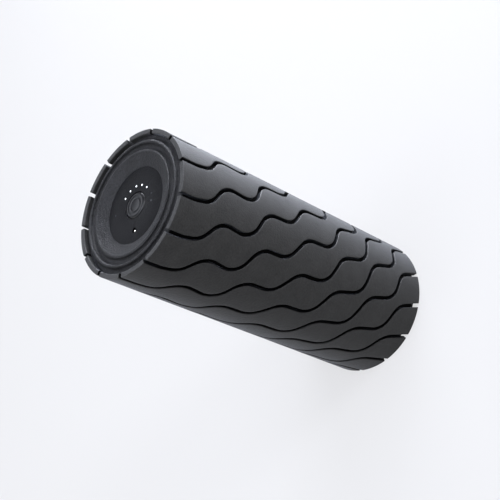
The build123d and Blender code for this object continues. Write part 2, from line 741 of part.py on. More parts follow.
# ---------------------------------------------------------------- bearings
def bearing(prefix, low):
    """A ball bearing as four pieces: outer race, inner race, balls and cage."""
    middle = Plane.XY.offset(low + BEARING_WIDTH / 2)
    with BuildPart(middle) as outer_race:
        Cylinder(BEARING_R, BEARING_WIDTH)
        Cylinder(OUTER_RACE_IN_R, BEARING_WIDTH, mode=Mode.SUBTRACT)
        Torus(BALL_CIRCLE_R, RACEWAY_R, mode=Mode.SUBTRACT)
    finish(outer_race, f"{prefix}_bearing_outer_race")
    with BuildPart(middle) as inner_race:
        Cylinder(INNER_RACE_R, BEARING_WIDTH)
        Cylinder(SHAFT_R, BEARING_WIDTH, mode=Mode.SUBTRACT)
        Torus(BALL_CIRCLE_R, RACEWAY_R, mode=Mode.SUBTRACT)
    finish(inner_race, f"{prefix}_bearing_inner_race")
    with BuildPart(middle) as balls:
        with PolarLocations(BALL_CIRCLE_R, BALLS, start_angle=BALL_PHASE):
            Sphere(BALL_R)
    finish(balls, f"{prefix}_bearing_balls")
    with BuildPart(middle) as cage:
        Cylinder(BALL_CIRCLE_R + CAGE_HALF_THICK, CAGE_TALL)
        Cylinder(BALL_CIRCLE_R - CAGE_HALF_THICK, CAGE_TALL, mode=Mode.SUBTRACT)
        with PolarLocations(BALL_CIRCLE_R, BALLS, start_angle=BALL_PHASE):
            Cylinder(RACEWAY_R, 4.0, rotation=(0, 90, 0), mode=Mode.SUBTRACT)
    finish(cage, f"{prefix}_bearing_cage")


bearing("lower", LOWER_BEARING_Z)
bearing("upper", UPPER_BEARING_Z)

# ---------------------------------------------------------------- motor
with BuildPart() as motor_can:
    with BuildSketch(Plane.XY.offset(MOTOR_LOW)):
        Circle(MOTOR_R)
    extrude(amount=MOTOR_HIGH - MOTOR_LOW)
    with BuildSketch(Plane.XY.offset(MOTOR_LOW + CAN_END)):
        Circle(MOTOR_IN_R)
    extrude(amount=MOTOR_HIGH - MOTOR_LOW - CAN_END, mode=Mode.SUBTRACT)
    with BuildSketch(Plane.XY.offset(MOTOR_LOW + CAN_END - BUSH_LENGTH)):
        Circle(BUSH_R + 1.5)
    extrude(amount=BUSH_LENGTH)
    with BuildSketch(Plane.XY.offset(MOTOR_LOW + CAN_END - BUSH_LENGTH)):
        Circle(BUSH_R)
    extrude(amount=BUSH_LENGTH, mode=Mode.SUBTRACT)
finish(motor_can, "motor_can")

with BuildPart() as motor_end_bell:
    with BuildSketch(Plane.XY.offset(MOTOR_HIGH)):
        Circle(MOTOR_R)
    extrude(amount=BELL_HIGH - MOTOR_HIGH)
    with BuildSketch(Plane.XY.offset(MOTOR_HIGH)):
        Circle(BELL_CAVITY_R)
    extrude(amount=BELL_CAVITY_TALL, mode=Mode.SUBTRACT)
    with BuildSketch(Plane.XY.offset(MOTOR_HIGH + BELL_CAVITY_TALL)):
        Circle(BUSH_R + 2)
    extrude(amount=BUSH_LENGTH)
    with BuildSketch(Plane.XY.offset(MOTOR_HIGH + BELL_CAVITY_TALL)):
        Circle(BUSH_R)
    extrude(amount=BUSH_LENGTH, mode=Mode.SUBTRACT)
    with BuildSketch(Plane.XY.offset(MOTOR_HIGH + BELL_CAVITY_TALL)):
        with Locations((TERMINAL_X, 0), (-TERMINAL_X, 0)):
            Rectangle(*TERMINAL_SIZE)
    extrude(amount=BELL_HIGH - MOTOR_HIGH - BELL_CAVITY_TALL, mode=Mode.SUBTRACT)
finish(motor_end_bell, "motor_end_bell")

with BuildPart() as motor_bushes:
    for low in (MOTOR_LOW + CAN_END - BUSH_LENGTH, MOTOR_HIGH + BELL_CAVITY_TALL):
        with BuildSketch(Plane.XY.offset(low)):
            Circle(BUSH_R)
            Circle(SHAFT_R + BUSH_CLEAR, mode=Mode.SUBTRACT)
        extrude(amount=BUSH_LENGTH)
finish(motor_bushes, "motor_bushes")

with BuildPart() as motor_isolators:
    for low in ISOLATOR_HEIGHTS:
        with BuildSketch(Plane.XY.offset(low)):
            Circle(ISOLATOR_R)
            Circle(MOTOR_R, mode=Mode.SUBTRACT)
        extrude(amount=ISOLATOR_TALL)
finish(motor_isolators, "motor_isolators")


def sector(inner, outer, start, sweep):
    """A flat piece of a ring between two angles, as a closed outline."""
    middle = start + sweep / 2
    end = start + sweep

    def at(radius, angle):
        return (radius * math.cos(math.radians(angle)), radius * math.sin(math.radians(angle)))

    with BuildSketch() as shape:
        with BuildLine():
            ThreePointArc(at(outer, start), at(outer, middle), at(outer, end))
            Line(at(outer, end), at(inner, end))
            ThreePointArc(at(inner, end), at(inner, middle), at(inner, start))
            Line(at(inner, start), at(outer, start))
        make_face()
    return shape.sketch


with BuildPart() as motor_magnets:
    with BuildSketch(Plane.XY.offset(MAGNET_LOW)):
        add(sector(MAGNET_IN_R, MOTOR_IN_R, 90 - MAGNET_SWEEP / 2, MAGNET_SWEEP))
        add(sector(MAGNET_IN_R, MOTOR_IN_R, 270 - MAGNET_SWEEP / 2, MAGNET_SWEEP))
    extrude(amount=MAGNET_HIGH - MAGNET_LOW)
finish(motor_magnets, "motor_magnets")

pole_angles = [360 / POLES * number for number in range(POLES)]

with BuildPart() as armature_core:
    with BuildSketch(Plane.XY.offset(CORE_LOW)):
        Circle(CORE_R)
        Circle(SHAFT_R, mode=Mode.SUBTRACT)
        for angle in pole_angles:
            pocket = sector(SLOT_IN_R, SLOT_OUT_R, angle - SLOT_HALF_ANGLE, 2 * SLOT_HALF_ANGLE)
            add(pocket, mode=Mode.SUBTRACT)
            mouth = sector(SLOT_OUT_R - 1, CORE_R + 1, angle - 3, 6)
            add(mouth, mode=Mode.SUBTRACT)
    extrude(amount=CORE_HIGH - CORE_LOW)
finish(armature_core, "armature_core")

with BuildPart() as armature_windings:
    with BuildSketch(Plane.XY.offset(CORE_LOW - 2.5)):
        for angle in pole_angles:
            start = angle - SLOT_HALF_ANGLE + 2
            add(sector(SLOT_IN_R + 0.3, SLOT_OUT_R - 0.3, start, 2 * SLOT_HALF_ANGLE - 4))
    extrude(amount=CORE_HIGH - CORE_LOW + 5)
finish(armature_windings, "armature_windings")

with BuildPart() as commutator:
    with BuildSketch(Plane.XY.offset(COMMUTATOR_LOW)):
        Circle(COMMUTATOR_R)
        Circle(SHAFT_R, mode=Mode.SUBTRACT)
    extrude(amount=COMMUTATOR_HIGH - COMMUTATOR_LOW)
    with BuildSketch(Plane.XY.offset(COMMUTATOR_LOW)):
        with PolarLocations(COMMUTATOR_R, POLES):
            Rectangle(1.4, 0.5)
    extrude(amount=COMMUTATOR_HIGH - COMMUTATOR_LOW, mode=Mode.SUBTRACT)
finish(commutator, "commutator")

BRUSH_IN_X = COMMUTATOR_R + 0.15
with BuildPart() as brushes:
    for side in (1, -1):
        with BuildSketch(Plane.XY.offset(BRUSH_Z - BRUSH_SIZE[1] / 2)):
            with Locations((side * (BRUSH_IN_X + BRUSH_OUT_X) / 2, 0)):
                Rectangle(BRUSH_OUT_X - BRUSH_IN_X, BRUSH_SIZE[0])
        extrude(amount=BRUSH_SIZE[1])
finish(brushes, "brushes")

BRUSH_HOLDER_LOW = BRUSH_Z - BRUSH_SIZE[1] / 2 - BRUSH_HOLDER_WALL
with BuildPart() as brush_holders:
    for side in (1, -1):
        with BuildSketch(Plane.XY.offset(BRUSH_HOLDER_LOW)):
            with Locations((side * BRUSH_HOLDER_X, 0)):
                Rectangle(BRUSH_HOLDER_LENGTH, BRUSH_SIZE[0] + 2 * BRUSH_HOLDER_WALL)
        extrude(amount=BRUSH_SIZE[1] + 2 * BRUSH_HOLDER_WALL)
        with BuildSketch(Plane.XY.offset(BRUSH_Z - BRUSH_SIZE[1] / 2)):
            with Locations((side * (BRUSH_HOLDER_X - BRUSH_HOLDER_WALL / 2), 0)):
                Rectangle(BRUSH_HOLDER_LENGTH - BRUSH_HOLDER_WALL, BRUSH_SIZE[0])
        extrude(amount=BRUSH_SIZE[1], mode=Mode.SUBTRACT)
        with BuildSketch(Plane.XY.offset(BRUSH_HOLDER_LOW)):
            with Locations((side * TERMINAL_X, 0)):
                Rectangle(*TERMINAL_SIZE)
        extrude(amount=TERMINAL_TOP - BRUSH_HOLDER_LOW)
finish(brush_holders, "brush_holders")

# ---------------------------------------------------------------- shaft and eccentric weights
with BuildPart() as motor_shaft:
    with BuildSketch(Plane.XY.offset(SHAFT_LOW)):
        Circle(SHAFT_R)
    extrude(amount=SHAFT_HIGH - SHAFT_LOW)
    chamfer(motor_shaft.edges().filter_by(GeomType.CIRCLE), 0.5)
finish(motor_shaft, "motor_shaft")


def eccentric_weight(low):
    """A half disc on a hub, with a cross hole for its set screw on the light side."""
    with BuildPart() as weight:
        with BuildSketch(Plane.XY.offset(low)):
            Circle(WEIGHT_HUB_R)
            add(sector(SHAFT_R + 1, WEIGHT_R, -WEIGHT_SWEEP / 2, WEIGHT_SWEEP))
            Circle(SHAFT_R, mode=Mode.SUBTRACT)
        extrude(amount=WEIGHT_TALL)
        with BuildSketch(Plane.YZ.offset(-WEIGHT_HUB_R - 1)):
            with Locations((0, low + WEIGHT_TALL / 2)):
                Circle(SET_SCREW_R)
        extrude(amount=WEIGHT_HUB_R + 1 - SHAFT_R / 2, mode=Mode.SUBTRACT)
    return weight


finish(eccentric_weight(LOWER_WEIGHT_Z), "lower_weight")
finish(eccentric_weight(UPPER_WEIGHT_Z), "upper_weight")

with BuildPart() as weight_set_screws:
    for low in (LOWER_WEIGHT_Z, UPPER_WEIGHT_Z):
        with BuildSketch(Plane.YZ.offset(SET_SCREW_SINK - WEIGHT_HUB_R)):
            with Locations((0, low + WEIGHT_TALL / 2)):
                Circle(SET_SCREW_R)
        extrude(amount=WEIGHT_HUB_R - SET_SCREW_SINK - SHAFT_R)
        with BuildSketch(Plane.YZ.offset(SET_SCREW_SINK - WEIGHT_HUB_R)):
            with Locations((0, low + WEIGHT_TALL / 2)):
                RegularPolygon(SET_SCREW_KEY_R, 6)
        extrude(amount=SET_SCREW_KEY_DEPTH, mode=Mode.SUBTRACT)
finish(weight_set_screws, "weight_set_screws")

# ---------------------------------------------------------------- battery
cell_places = [
    (CELL_CIRCLE_R * math.cos(math.radians(a)), CELL_CIRCLE_R * math.sin(math.radians(a)))
    for a in (90 + 360 / CELLS * number for number in range(CELLS))
]

with BuildPart() as battery_cells:
    with BuildSketch(Plane.XY.offset(CELL_LOW)):
        with Locations(*cell_places):
            Circle(CELL_R)
    extrude(amount=CELL_LENGTH)
    chamfer(battery_cells.edges().filter_by(GeomType.CIRCLE), 0.6)
finish(battery_cells, "battery_cells")


def cell_link(first, second):
    """Middle and turn of the strip between two cells, as a location on a level sketch."""
    middle = ((first[0] + second[0]) / 2, (first[1] + second[1]) / 2)
    turn = math.degrees(math.atan2(second[1] - first[1], second[0] - first[0]))
    return Location(middle, turn)


CELL_SPACING = CELL_CIRCLE_R * math.sqrt(3)
upper_link = cell_link(cell_places[0], cell_places[1])
lower_link = cell_link(cell_places[1], cell_places[2])

with BuildPart() as battery_straps:
    with BuildSketch(Plane.XY.offset(CELL_HIGH)):
        with Locations(upper_link):
            SlotCenterToCenter(CELL_SPACING, STRAP_WIDTH)
    extrude(amount=STRAP_THICK)
    with BuildSketch(Plane.XY.offset(CELL_LOW - STRAP_THICK)):
        with Locations(lower_link):
            SlotCenterToCenter(CELL_SPACING, STRAP_WIDTH)
    extrude(amount=STRAP_THICK)
finish(battery_straps, "battery_straps")


def battery_holder(low, high, cell_end, link):
    """A tray with a pocket for each cell's end and a recess for the strip between two of them."""
    with BuildPart() as holder:
        with BuildSketch(Plane.XY.offset(low)):
            Circle(HOLDER_R)
            Circle(2.0, mode=Mode.SUBTRACT)
        extrude(amount=high - low)
        inward = 1 if cell_end == CELL_LOW else -1
        with BuildSketch(Plane.XY.offset(cell_end)):
            with Locations(*cell_places):
                Circle(CELL_R + CELL_CLEAR)
        extrude(amount=inward * (HOLDER_GRIP + 1), mode=Mode.SUBTRACT)
        with BuildSketch(Plane.XY.offset(cell_end)):
            with Locations(link):
                SlotCenterToCenter(CELL_SPACING, STRAP_WIDTH + STRAP_CLEAR)
        extrude(amount=-inward * STRAP_THICK, mode=Mode.SUBTRACT)
        with BuildSketch(Plane.XY.offset(cell_end)):
            with Locations(link):
                SlotCenterToCenter(CELL_SPACING, STRAP_WIDTH + STRAP_CLEAR)
        extrude(amount=inward * (HOLDER_GRIP + 1), mode=Mode.SUBTRACT)
    return holder


finish(
    battery_holder(BATTERY_PLATE_HIGH, CELL_LOW + HOLDER_GRIP, CELL_LOW, lower_link),
    "lower_battery_holder",
)
finish(
    battery_holder(CELL_HIGH - HOLDER_GRIP, CHASSIS_HIGH - END_PLATE, CELL_HIGH, upper_link),
    "upper_battery_holder",
)

# ---------------------------------------------------------------- power board and wiring
with BuildPart() as power_board:
    with BuildSketch(Plane.YZ.offset(POWER_BOARD_X)):
        with Locations((0, (BATTERY_PLATE_HIGH + CHASSIS_HIGH - END_PLATE) / 2)):
            Rectangle(POWER_BOARD_WIDTH, CHASSIS_HIGH - END_PLATE - BATTERY_PLATE_HIGH)
    extrude(amount=BOARD_THICK)
finish(power_board, "power_board")

with BuildPart() as power_board_parts:
    with BuildSketch(Plane.YZ.offset(POWER_BOARD_X)):
        with Locations((-8.0, 205.0), (8.0, 205.0), (-8.0, 220.0), (7.0, 240.0)):
            Rectangle(6.0, 6.0)
    extrude(amount=-2.2)
    with BuildSketch(Plane.YZ.offset(POWER_BOARD_X)):
        with Locations((6.0, 222.0)):
            Circle(4.0)
    extrude(amount=-6.0)
finish(power_board_parts, "power_board_parts")

CONNECTOR_TALL = 8.0
MOTOR_CONNECTOR_Z = 206.0
CONTROL_CONNECTOR_Z = 236.0
with BuildPart() as board_connectors:
    with BuildSketch(Plane.YZ.offset(POWER_BOARD_X + BOARD_THICK)):
        with Locations((0, MOTOR_CONNECTOR_Z + CONNECTOR_TALL / 2)):
            Rectangle(10.0, CONNECTOR_TALL)
        with Locations((0, CONTROL_CONNECTOR_Z + CONNECTOR_TALL / 2)):
            Rectangle(12.0, CONNECTOR_TALL)
    extrude(amount=5.5)
finish(board_connectors, "board_connectors")


def wire(points, radii):
    """A round wire along straight runs joined by arcs."""
    with BuildPart() as tube:
        with BuildLine() as route:
            FilletPolyline(*points, radius=radii)
        with BuildSketch(Plane(origin=route.wires()[0] @ 0, z_dir=route.wires()[0] % 0)):
            Circle(WIRE_R)
        sweep(path=route.wires()[0])
    return tube


LEAD_Z = 147.0
RED_POINTS = [
    (TERMINAL_X + 0.8, 0, LEAD_Z),
    (WIRE_SLOT_X, 0, LEAD_Z),
    (WIRE_SLOT_X, 0, MOTOR_CONNECTOR_Z),
]
BLACK_POINTS = [
    (-TERMINAL_X, -2.0, LEAD_Z),
    (-TERMINAL_X, -13.0, LEAD_Z),
    (28.0, -13.0, LEAD_Z),
    (WIRE_SLOT_X, -3.0, LEAD_Z),
    (WIRE_SLOT_X, -3.0, MOTOR_CONNECTOR_Z),
]
red_lead = wire(RED_POINTS, [9.0])
black_lead = wire(BLACK_POINTS, [6.0, 8.0, 4.5])
with BuildPart() as motor_leads:
    add(red_lead.part)
    add(black_lead.part)
finish(motor_leads, "motor_leads")

with BuildPart() as battery_leads:
    with BuildSketch(Plane.YZ.offset(HOLDER_R)):
        with Locations((-3.0, CHASSIS_HIGH - END_PLATE - 2), (3.0, CHASSIS_HIGH - END_PLATE - 2)):
            Circle(WIRE_R)
    extrude(amount=POWER_BOARD_X - HOLDER_R)
finish(battery_leads, "battery_leads")

with BuildPart() as control_cable:
    with BuildSketch(Plane.XY.offset(CONTROL_CONNECTOR_Z + CONNECTOR_TALL)):
        with Locations((WIRE_SLOT_X, 0)):
            Rectangle(1.2, 9.0)
    extrude(amount=LENGTH - BOARD_DEPTH - BOARD_THICK - CONTROL_CONNECTOR_Z - CONNECTOR_TALL)
finish(control_cable, "control_cable")
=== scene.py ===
"""Looks for the vibrating foam roller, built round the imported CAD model.

Lengths named in millimetres are turned into metres by MM where a mesh is made. The frame is the CAD's:
the roller stands on its plain end, +Z runs up its axis to the control end, and +Y is the side of the
control panel that the arc of level lights is on. "Depth" is measured from an end face into the roller.
"""

import json
import math

import bmesh
import bpy
import numpy as np
from mathutils import Matrix, Vector


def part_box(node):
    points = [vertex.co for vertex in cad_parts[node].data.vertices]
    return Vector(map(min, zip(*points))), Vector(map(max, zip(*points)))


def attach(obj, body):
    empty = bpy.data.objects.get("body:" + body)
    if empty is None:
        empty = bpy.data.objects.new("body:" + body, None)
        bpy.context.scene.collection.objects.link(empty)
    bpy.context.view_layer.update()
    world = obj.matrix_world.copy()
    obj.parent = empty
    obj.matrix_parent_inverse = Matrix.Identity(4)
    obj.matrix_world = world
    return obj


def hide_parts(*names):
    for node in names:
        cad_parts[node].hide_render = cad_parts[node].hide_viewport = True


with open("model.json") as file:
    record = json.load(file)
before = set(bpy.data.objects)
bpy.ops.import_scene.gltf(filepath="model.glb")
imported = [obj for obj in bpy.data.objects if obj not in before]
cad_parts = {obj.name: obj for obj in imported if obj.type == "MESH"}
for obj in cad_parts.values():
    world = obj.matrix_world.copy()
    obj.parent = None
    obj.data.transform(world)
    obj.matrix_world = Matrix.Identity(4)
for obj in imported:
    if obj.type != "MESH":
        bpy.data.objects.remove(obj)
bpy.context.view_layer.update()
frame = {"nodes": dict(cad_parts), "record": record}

# ---------------------------------------------------------------- sizes, in millimetres
MM = 0.001
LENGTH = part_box("foam_sleeve")[1].z / MM
FOAM_R = round(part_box("foam_sleeve")[1].x / MM, 1)

# Segments round each kind of turned piece and hole.
ROUND = 160
SMALL_ROUND = 48
PIPE_ROUND = 32
PIPE_HOLE_ROUND = 24
PIPE_WELL_ROUND = 20
BUTTON_HOLE_ROUND = 128
SHARP_ANGLE = math.radians(38)
# A smaller radius than this is a point on the axis.
ON_AXIS_R = 1e-6

# Foam sleeve
GROOVES = 13
PITCH = 2 * math.pi / GROOVES
GROOVE_WIDTH = 3.5
GROOVE_FLOOR_R = 59.0
GROOVE_PHASE = math.radians(68.2)
GROOVE_ROUNDING = 18.6
GROOVE_OVERRUN = 4.0
BEND_ROOM = 0.48
BEND_STEPS = 12
SLEEVE_IN_R = 54.0
SLEEVE_EDGE_R = 0.3
STEP_R = 59.3
STEP_DEPTH = 5.3
STEP_LIP_R = 0.8
LIP_R = 0.4
EDGE_TURNS = [math.radians(angle) for angle in (25, 47, 68, 90)]
ROW_STEP = 2.1
ROW_CLEARANCE = 0.6
NEAR_ROW = 0.5
WALL_RADII = [GROOVE_FLOOR_R, STEP_R, 60.2, 61.5, FOAM_R - LIP_R]
TREAD_CELLS = 10
# One groove's turning points: distance from the control end, and degrees round the roller.
GROOVE_CORNERS = [
    (0.0, 0.0),
    (15.0, 0.3),
    (30.5, 3.0),
    (45.0, 21.0),
    (77.5, 18.0),
    (91.0, 43.0),
    (121.5, 44.0),
    (139.5, 65.0),
    (171.0, 66.5),
    (184.5, 91.0),
    (215.0, 98.0),
    (226.0, 125.5),
    (257.0, 133.0),
    (266.0, 156.5),
    (LENGTH, 164.5),
]

# End caps and panels: radii, and depths below the end face. Arcs are three (radius, depth) points.
FLANGE_R = STEP_R - 0.2
FLANGE_EDGE = 0.25
CONTROL_FLANGE_DEPTH = 4.1
FOOT_FLANGE_DEPTH = 2.6
RIB_FOOT_R = 54.1
RIB_FOOT_DEPTH = 1.0
COVE_IN = 0.293
COVE_DOWN = 0.707
OUTER_RIB = ((RIB_FOOT_R, RIB_FOOT_DEPTH), (52.8, 0.05), (51.5, 1.0))
RIB_CHANNEL = ((51.5, 1.0), (48.75, 3.8), (46.0, 1.0))
INNER_RIB = ((46.0, 1.0), (44.6, 0.4), (43.2, 0.95))
DISH = [(42.4, 1.3), (38.0, 3.25), (34.4, 4.85), (33.6, 5.2), (33.15, 5.4), (33.1, 5.6)]
PANEL_SEAT_R = 33.1
PANEL_R = 33.0
PANEL_DEPTH = 5.5
PANEL_THICK = 1.3
PANEL_EDGE_R = 0.1
FLOOR_DEPTH = PANEL_DEPTH + PANEL_THICK
FLOOR_BACK = FLOOR_DEPTH + 3.5
DISH_BACK_R = 35.5
RIB_BACK_R = 43.0
RIB_BACK_DEPTH = 6.4
SKIRT_IN_R = 47.9
SKIRT_R = 50.3
SKIRT_DEPTH = 17.0
HOLE_OVERRUN = 1.0
WELL_OVERRUN = 0.5

# Power button
BUTTON_R = 11.3
BUTTON_HOLE_R = 11.6
BUTTON_HOLE_EDGE_R = 0.9
BUTTON_WELL_R = 14.5
BUTTON_WELL_DEPTH = 9.0
BUTTON_STEM_R = 4.0
BUTTON_STEM_DEPTH = 12.5
BUTTON_FLANGE_R = 13.8
BUTTON_FLANGE_TOP = FLOOR_DEPTH + 0.1
BUTTON_FLANGE_THICK = 0.8
BUTTON_STEM_GAP = 0.4
BUTTON_BOWL = ((0.0, 5.5), (2.6, 5.4), (4.9, 5.15))
BUTTON_RING = ((4.9, 5.15), (5.5, 4.95), (6.1, 5.15))
BUTTON_TROUGH = ((6.1, 5.15), (7.4, 5.3), (8.7, 5.05))
BUTTON_RIM = ((8.7, 5.05), (10.35, 5.4), (BUTTON_R, 6.4))

# Lights and charging socket
LIGHT_CIRCLE = 17.25
LIGHTS = 5
LIGHT_STEP = math.radians(24.9)
LIGHT_R = 0.7
STATUS_R = 0.6
STATUS_PLACES = [(19.2, 3.3), (19.2, -3.3), (-25.0, 0.0)]
PIPE_FOOT_DEPTH = 16.0
PIPE_GAP = 0.05
PIPE_HOLE_EDGE_R = 0.1
DOME_HEIGHT = 0.15
DOME_SHOULDER = (0.6, 0.09)
DOME_FOOT = 0.1
JACK_Y = -22.9
JACK_BORE_R = 2.45
JACK_EDGE_R = 0.25
JACK_R = 3.8

light_places = [
    (
        LIGHT_CIRCLE * math.sin(LIGHT_STEP * (number - (LIGHTS - 1) / 2)),
        LIGHT_CIRCLE * math.cos(LIGHT_STEP * (number - (LIGHTS - 1) / 2)),
    )
    for number in range(LIGHTS)
]
pipe_sets = ((light_places, LIGHT_R), (STATUS_PLACES, STATUS_R))


# ---------------------------------------------------------------- mesh helpers
def make_object(name, points, faces):
    """A smooth-shaded object from points in millimetres."""
    mesh = bpy.data.meshes.new(name)
    mesh.from_pydata([tuple(c * MM for c in point) for point in points], [], faces)
    mesh.validate()
    mesh.shade_smooth()
    mesh.set_sharp_from_angle(angle=SHARP_ANGLE)
    piece = bpy.data.objects.new(name, mesh)
    bpy.context.scene.collection.objects.link(piece)
    return piece


def arc(start, through, end, steps):
    """Points on the circle through three points, from the first to the last."""
    (ax, ay), (bx, by), (cx, cy) = start, through, end
    d = 2 * (ax * (by - cy) + bx * (cy - ay) + cx * (ay - by))
    a2, b2, c2 = ax * ax + ay * ay, bx * bx + by * by, cx * cx + cy * cy
    ux = (a2 * (by - cy) + b2 * (cy - ay) + c2 * (ay - by)) / d
    uy = (a2 * (cx - bx) + b2 * (ax - cx) + c2 * (bx - ax)) / d
    radius = math.hypot(ax - ux, ay - uy)
    first, middle, last = (math.atan2(y - uy, x - ux) for x, y in (start, through, end))
    sweep = (last - first) % (2 * math.pi)
    if (middle - first) % (2 * math.pi) > sweep:
        sweep -= 2 * math.pi
    angles = [first + sweep * step / steps for step in range(steps + 1)]
    return [(ux + radius * math.cos(a), uy + radius * math.sin(a)) for a in angles]


def lathe(name, profile, centre=(0.0, 0.0), segments=ROUND):
    """A closed solid turned about the Z axis from (radius, height) points, given once round."""
    points = []
    rings = []
    for radius, height in profile:
        first = len(points)
        if radius < ON_AXIS_R:
            points.append((centre[0], centre[1], height))
            rings.append([first] * segments)
            continue
        for number in range(segments):
            angle = 2 * math.pi * number / segments
            x = centre[0] + radius * math.cos(angle)
            y = centre[1] + radius * math.sin(angle)
            points.append((x, y, height))
        rings.append(list(range(first, first + segments)))
    faces = []
    for low, high in zip(rings, rings[1:] + rings[:1]):
        for number in range(segments):
            after = (number + 1) % segments
            corners = [low[number], low[after], high[after], high[number]]
            face = list(dict.fromkeys(corners))
            if len(face) > 2:
                faces.append(face)
    piece = make_object(name, points, faces)
    outward(piece)
    return piece


def outward(piece):
    """Turn every face to look out of the solid."""
    work = bmesh.new()
    work.from_mesh(piece.data)
    bmesh.ops.recalc_face_normals(work, faces=work.faces)
    work.to_mesh(piece.data)
    work.free()


def cut(piece, cutters):
    """Take closed solids out of a piece, then throw them away."""
    for cutter in cutters:
        modifier = piece.modifiers.new("cut", "BOOLEAN")
        modifier.operation = "DIFFERENCE"
        modifier.solver = "EXACT"
        modifier.object = cutter
        with bpy.context.temp_override(object=piece, active_object=piece):
            bpy.ops.object.modifier_apply(modifier=modifier.name)
        bpy.data.objects.remove(cutter)
    piece.data.shade_smooth()
    piece.data.set_sharp_from_angle(angle=SHARP_ANGLE)


def join(name, pieces):
    """Make several meshes one piece."""
    with bpy.context.temp_override(
        object=pieces[0], active_object=pieces[0], selected_editable_objects=pieces
    ):
        bpy.ops.object.join()
    pieces[0].name = name
    return pieces[0]


def up(depth):
    """Height of a depth below the control end."""
    return LENGTH - depth


# ---------------------------------------------------------------- foam sleeve
def groove_line():
    """One groove's centreline on the sleeve laid flat: down from the control end, and round it."""
    points = [Vector((down, math.radians(turn) * FOAM_R)) for down, turn in GROOVE_CORNERS]
    points[0] += (points[0] - points[1]).normalized() * GROOVE_OVERRUN
    points[-1] += (points[-1] - points[-2]).normalized() * GROOVE_OVERRUN
    line = [points[0]]
    for before, corner, after in zip(points, points[1:], points[2:]):
        back = before - corner
        on = after - corner
        half_turn = (math.pi - back.angle(on)) / 2
        room = BEND_ROOM * min(back.length, on.length)
        reach = min(GROOVE_ROUNDING * math.tan(half_turn), room)
        start = corner + back.normalized() * reach
        end = corner + on.normalized() * reach
        weight = math.cos(half_turn)
        for step in range(BEND_STEPS + 1):
            t = step / BEND_STEPS
            pull = 2 * weight * t * (1 - t)
            total = (1 - t) ** 2 + pull + t**2
            line.append((start * (1 - t) ** 2 + corner * pull + end * t**2) / total)
    line.append(points[-1])
    return np.array([tuple(point) for point in line])


def sleeve_rows(line):
    """Distances from the control end of the sleeve's rings: even steps along a groove."""
    steps = np.linalg.norm(np.diff(line, axis=0), axis=1)
    along = np.concatenate([[0.0], np.cumsum(steps)])
    even = np.interp(np.arange(0, along[-1], ROW_STEP), along, line[:, 0])
    from_end = np.minimum(even, LENGTH - even)
    past_lip = from_end > STEP_LIP_R + ROW_CLEARANCE
    off_step = abs(from_end - STEP_DEPTH) > ROW_CLEARANCE
    middle = even[past_lip & off_step]
    edge = [SLEEVE_EDGE_R * (1 - math.cos(turn)) for turn in EDGE_TURNS]
    near = np.array([0.0] + edge + [NEAR_ROW, STEP_LIP_R, STEP_DEPTH])
    return np.sort(np.concatenate([near, middle, LENGTH - near]))


def rounded(radius, from_end):
    """How far a rounded edge of the sleeve's end has fallen short of full size at each row."""
    return radius - np.sqrt(radius**2 - np.clip(radius - from_end, 0, radius) ** 2)


